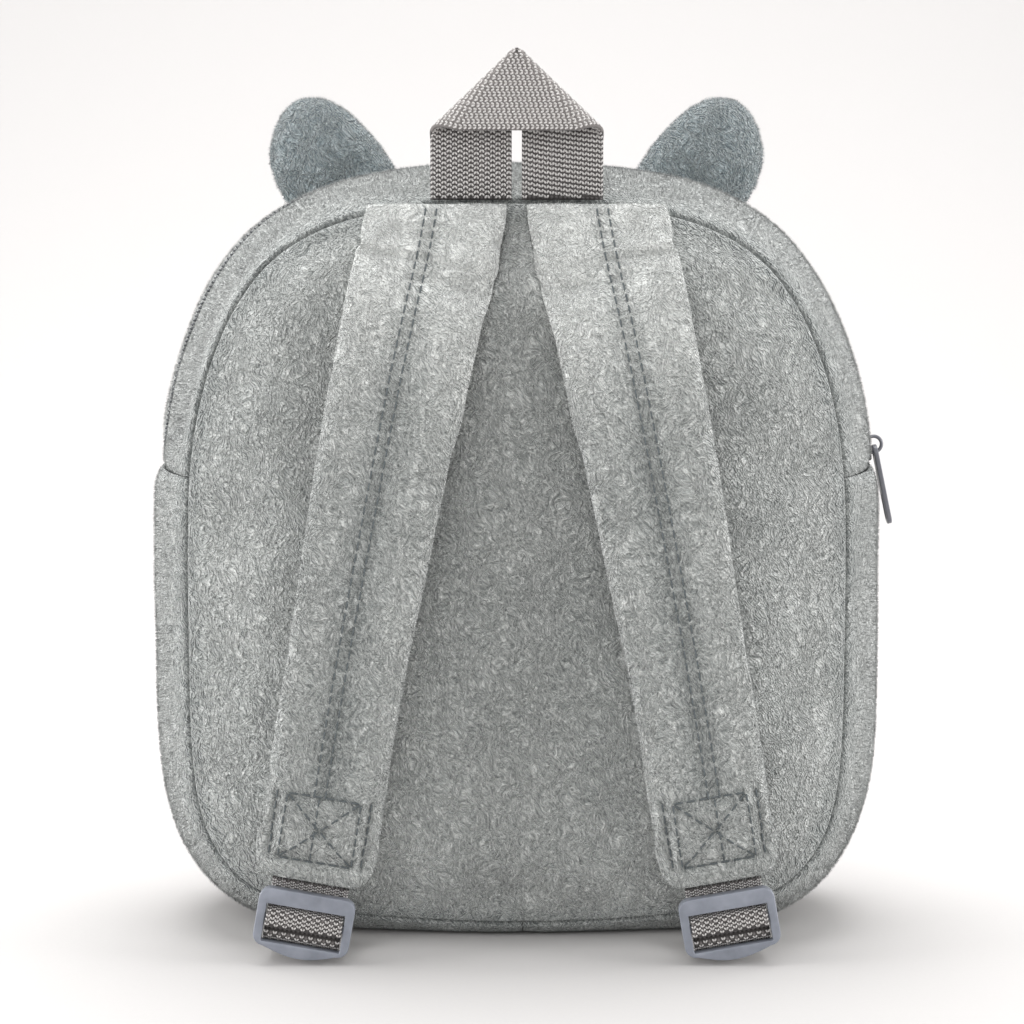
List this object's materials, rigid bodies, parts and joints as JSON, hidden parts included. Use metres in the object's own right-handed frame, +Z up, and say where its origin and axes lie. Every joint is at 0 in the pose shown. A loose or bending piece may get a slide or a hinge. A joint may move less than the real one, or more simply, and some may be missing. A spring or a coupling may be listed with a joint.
{
  "type": "kids animal backpack",
  "caption": "Small soft plush backpack with rounded crown, animal ears, padded shoulder straps on ladder sliders, a folded webbing carry handle and a zip over the top.",
  "frame": {"origin": "on the floor at the middle of the flat base, where the bag stands", "axes": "+Z up, -Y the wearer's side with the straps, +Y the front with the ears, +X to the right seen from the wearer's side"},
  "size_m": [0.2437, 0.1233, 0.2846],
  "materials": {
    "back_panel": "short-pile plush, soft grey",
    "front_panel": "short-pile plush, soft grey",
    "gusset_zip_rear": "short-pile plush, soft grey",
    "gusset_zip_front": "short-pile plush, soft grey",
    "gusset_base_left": "short-pile plush, soft grey",
    "gusset_base_right": "short-pile plush, soft grey",
    "zipper_tape": "woven polyester zip tape",
    "zipper_teeth": "dark grey nylon coil",
    "zipper_slider": "dark grey painted zinc",
    "zipper_pull": "dark grey painted zinc",
    "ear_left": "short-pile plush, padded",
    "ear_right": "short-pile plush, padded",
    "carry_handle": "grey polypropylene webbing",
    "shoulder_strap_left": "short-pile plush, padded and topstitched",
    "shoulder_strap_right": "short-pile plush, padded and topstitched",
    "strap_webbing_left": "grey polypropylene webbing",
    "strap_webbing_right": "grey polypropylene webbing",
    "strap_slider_left": "satin blue-grey acetal",
    "strap_slider_right": "satin blue-grey acetal"
  },
  "bodies": {
    "bag": {"back_panel": "back_panel", "front_panel": "front_panel", "gusset_zip_rear": "gusset_zip_rear", "gusset_zip_front": "gusset_zip_front", "gusset_base_left": "gusset_base_left", "gusset_base_right": "gusset_base_right", "zipper_tape": "zipper_tape", "zipper_teeth": "zipper_teeth", "zipper_slider": "zipper_slider", "ear_left": "ear_left", "ear_right": "ear_right", "carry_handle": "carry_handle", "shoulder_strap_left": "shoulder_strap_left", "shoulder_strap_right": "shoulder_strap_right", "strap_webbing_left": "strap_webbing_left", "strap_webbing_right": "strap_webbing_right", "strap_slider_left": "strap_slider_left", "strap_slider_right": "strap_slider_right"},
    "zip_pull": {"zipper_pull": "zipper_pull"}
  },
  "joints": [
    {"name": "pull_swing", "type": "hinge", "parent": "bag", "child": "zip_pull", "pos_m": [0.11812, 0, 0.15717], "axis": [0, -1, 0], "range_deg": [0, 150]}
  ]
}
